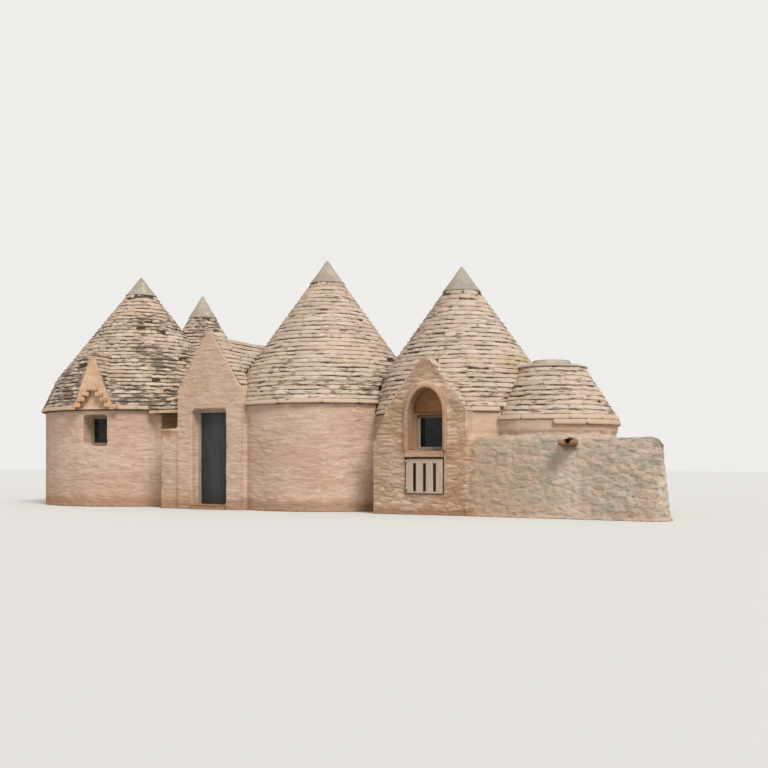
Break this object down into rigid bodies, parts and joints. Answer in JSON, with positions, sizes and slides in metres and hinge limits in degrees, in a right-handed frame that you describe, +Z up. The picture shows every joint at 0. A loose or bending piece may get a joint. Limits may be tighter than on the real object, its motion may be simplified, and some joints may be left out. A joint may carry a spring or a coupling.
{
  "type": "trullo house",
  "caption": "Whitewashed trullo house: round rooms under stepped dry stone cones, gabled entrance, arched alcove and a battered bank.",
  "frame": {"origin": "on the axis of the main trullo, on the underside of its floor, level with the lowest ground", "axes": "+X along the front to the right, the longest extent; +Y inward from the front; +Z up"},
  "size_m": [18.7286, 9.252, 6.7],
  "materials": {
    "plaster": "limewashed plaster over rubble",
    "roof_slabs": "rough dry laid limestone slabs",
    "rough_plaster": "thin limewash over rough rubble",
    "cut_stone": "cut limestone, weathered",
    "floor_stone": "worn limestone paving",
    "joinery": "pale grey paint",
    "door_paint": "dark grey paint",
    "pale_boards": "pale cream boards",
    "iron": "dark iron",
    "glass": "dark window glass"
  },
  "bodies": {
    "root": {"main_left_wall": "plaster", "main_rear_wall": "plaster", "main_right_wall": "plaster", "main_front_left": "plaster", "main_front_right": "plaster", "alcove_wall": "plaster", "main_gable": "plaster", "alcove_moulding": "plaster", "alcove_sill": "cut_stone", "hatch_pintles": "iron", "window_frames": "joinery", "window_panes": "glass", "main_roof": "roof_slabs", "roof_tips": "plaster", "middle_front_wall": "plaster", "middle_left_wall": "plaster", "middle_rear_wall": "plaster", "middle_right_wall": "plaster", "middle_roof": "roof_slabs", "left_front_wall": "plaster", "left_side_wall": "plaster", "left_rear_wall": "plaster", "left_entry_wall": "plaster", "left_gable": "plaster", "left_roof": "roof_slabs", "rear_near_wall": "plaster", "rear_right_wall": "plaster", "rear_left_wall": "plaster", "rear_roof": "roof_slabs", "low_front_wall": "plaster", "low_rear_wall": "plaster", "low_roof": "roof_slabs", "low_roof_cap": "plaster", "entrance_left_wall": "plaster", "entrance_right_wall": "plaster", "entrance_rear_wall": "plaster", "entrance_lintel": "plaster", "entrance_gable": "plaster", "entrance_roof": "roof_slabs", "door_frame": "joinery", "door_threshold": "cut_stone", "valley_wall": "plaster", "valley_roof": "roof_slabs", "front_shoulder": "rough_plaster", "bank_front": "rough_plaster", "bank_side": "rough_plaster", "rain_spout": "cut_stone", "main_floor": "floor_stone", "middle_floor": "floor_stone", "entrance_floor": "floor_stone", "left_floor": "floor_stone"},
    "door": {"door_leaf": "door_paint", "door_handle": "iron"},
    "hatch": {"hatch_panel": "pale_boards"}
  },
  "joints": [
    {"name": "door_hinge", "type": "hinge", "parent": "root", "child": "door", "pos_m": [-5.463, -1.829, 1.2], "axis": [0, 0, -1], "range_deg": [0, 90]},
    {"name": "hatch_hinge", "type": "hinge", "parent": "root", "child": "hatch", "pos_m": [-0.459, -2.171, 0.87], "axis": [0, 0, -1], "range_deg": [0, 100]}
  ]
}
